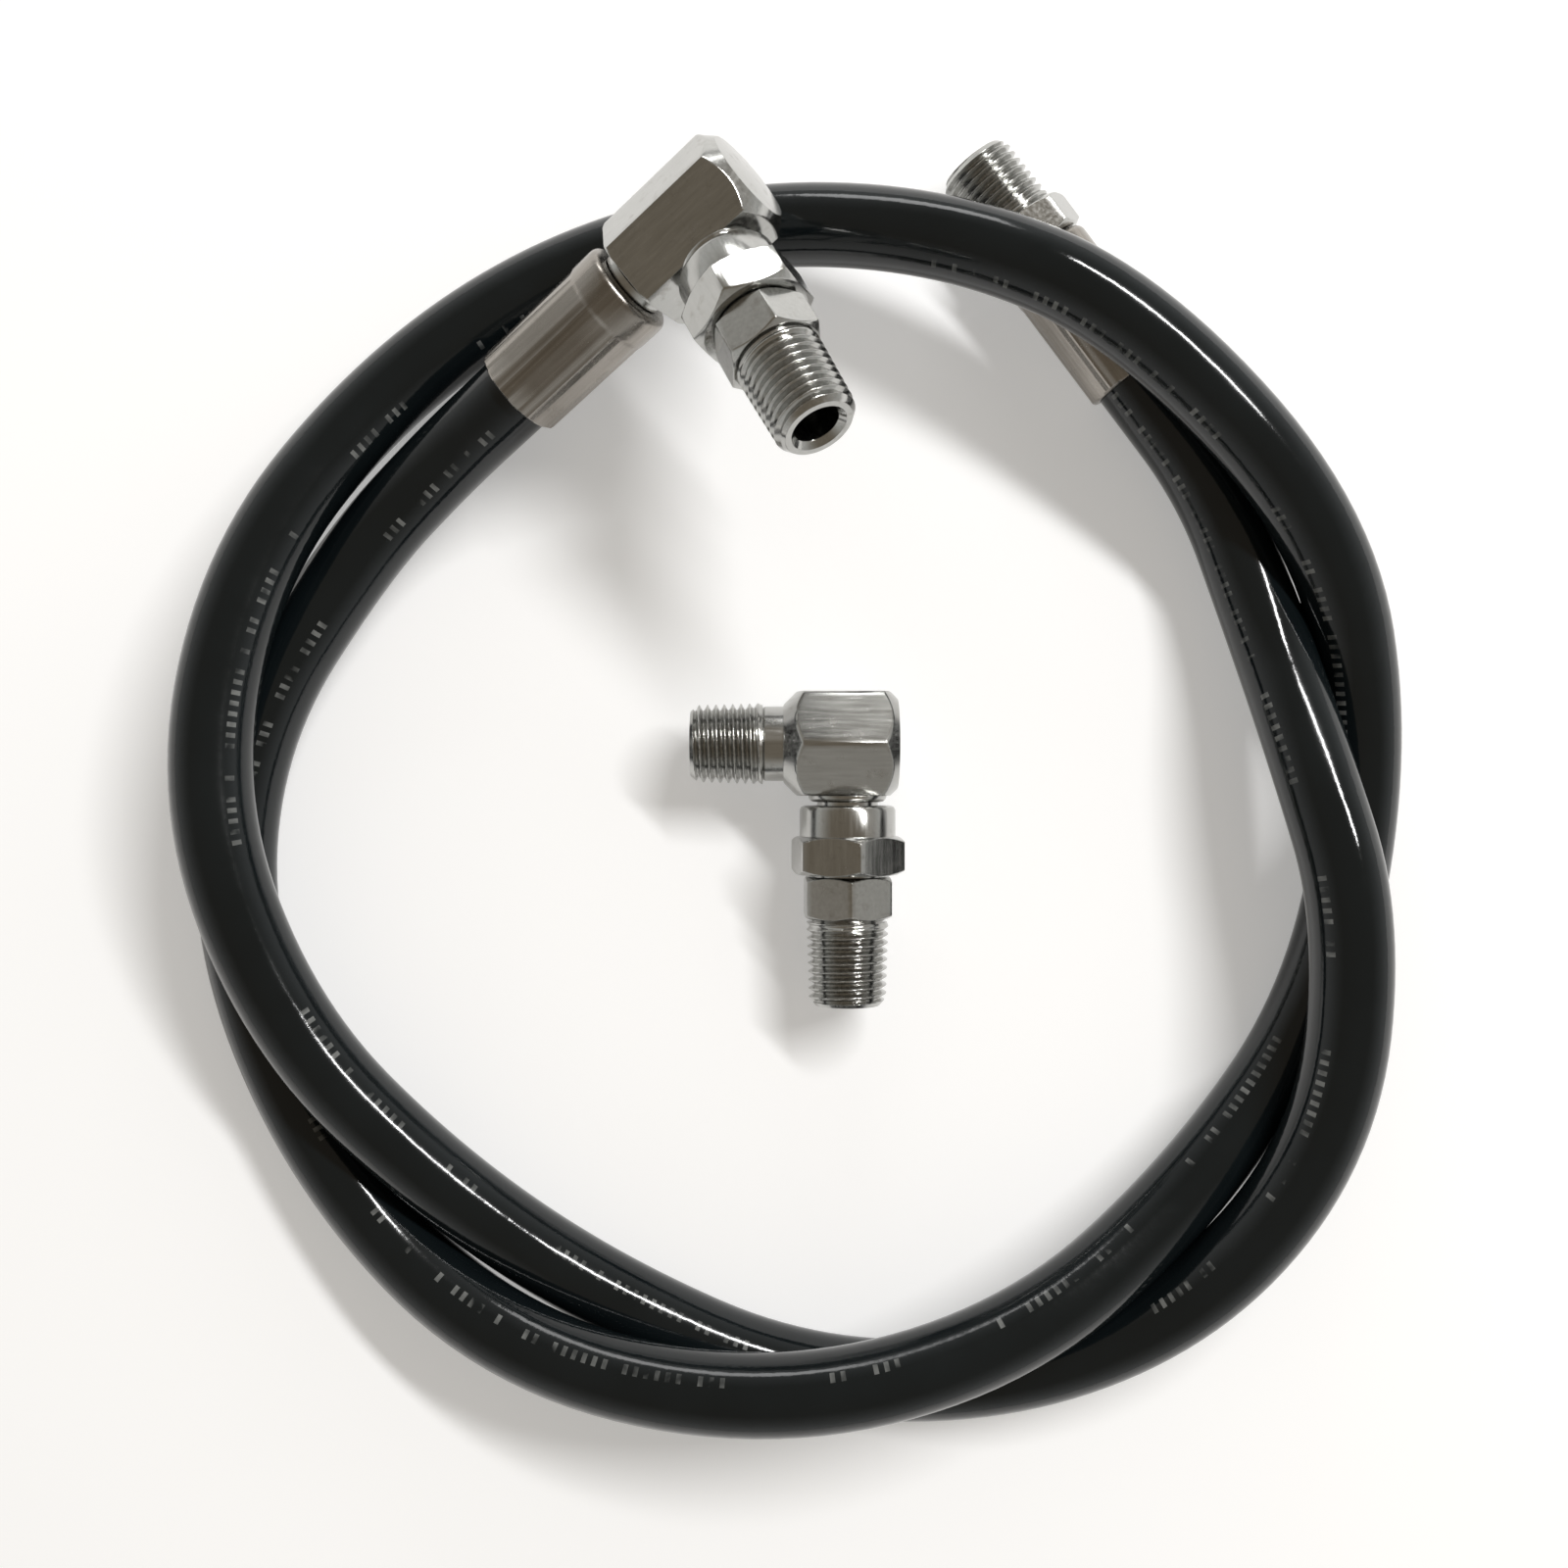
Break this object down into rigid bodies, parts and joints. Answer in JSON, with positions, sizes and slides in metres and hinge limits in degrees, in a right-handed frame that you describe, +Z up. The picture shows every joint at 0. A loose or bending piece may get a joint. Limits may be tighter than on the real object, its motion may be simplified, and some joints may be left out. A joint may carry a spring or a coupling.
{
  "type": "hydraulic hose assembly",
  "caption": "Coiled black rubber hydraulic hose with crimped ferrules, a threaded swivel elbow at one end, a straight threaded fitting at the other and a loose swivel elbow adapter",
  "frame": {"origin": "on the surface that the coil lies on, under the middle of the whole part's box", "axes": "+Z up from the surface; the loose adapter's fixed thread points along -X and its swivel outlet along -Y; the straight end and the elbow end leave the coil on its +Y side"},
  "size_m": [0.205, 0.2172, 0.0549],
  "materials": {
    "cover_rubber": "glossy black synthetic rubber",
    "braid_wire": "brass-coated steel wire braid",
    "tube_rubber": "smooth black oil-resistant rubber",
    "plated_ferrule": "crimped and bright zinc plated",
    "plated_steel": "machined and bright zinc plated",
    "spring_wire": "hard drawn wire",
    "braze_metal": "copper braze under the plating"
  },
  "bodies": {
    "hose": {"hose_cover": "cover_rubber", "wire_braid": "braid_wire", "inner_tube": "tube_rubber", "elbow_ferrule": "plated_ferrule", "elbow_stem": "plated_steel", "elbow_stem_braze": "braze_metal", "elbow_body": "plated_steel", "elbow_tail": "plated_steel", "elbow_tail_braze": "braze_metal", "straight_ferrule": "plated_ferrule", "straight_fitting": "plated_steel"},
    "elbow_swivel": {"elbow_nut": "plated_steel", "elbow_nut_wire": "spring_wire", "elbow_nipple": "plated_steel"},
    "adapter": {"adapter_body": "plated_steel", "adapter_tail": "plated_steel", "adapter_tail_braze": "braze_metal"},
    "adapter_swivel": {"adapter_nut": "plated_steel", "adapter_nut_wire": "spring_wire", "adapter_nipple": "plated_steel"}
  },
  "joints": [
    {"name": "elbow_spin", "type": "hinge", "parent": "hose", "child": "elbow_swivel", "pos_m": [-0.01571, 0.08741, 0.03146], "axis": [0.4217, -0.8121, 0.4033], "continuous": true},
    {"name": "adapter_lift", "type": "slide", "parent": "hose", "child": "adapter", "axis": [0, 0, 1], "range_m": [0, 0.1]},
    {"name": "adapter_spin", "type": "hinge", "parent": "adapter", "child": "adapter_swivel", "pos_m": [0.0084, 0.0066, 0.01008], "axis": [0, -1, -0.0079], "continuous": true}
  ]
}
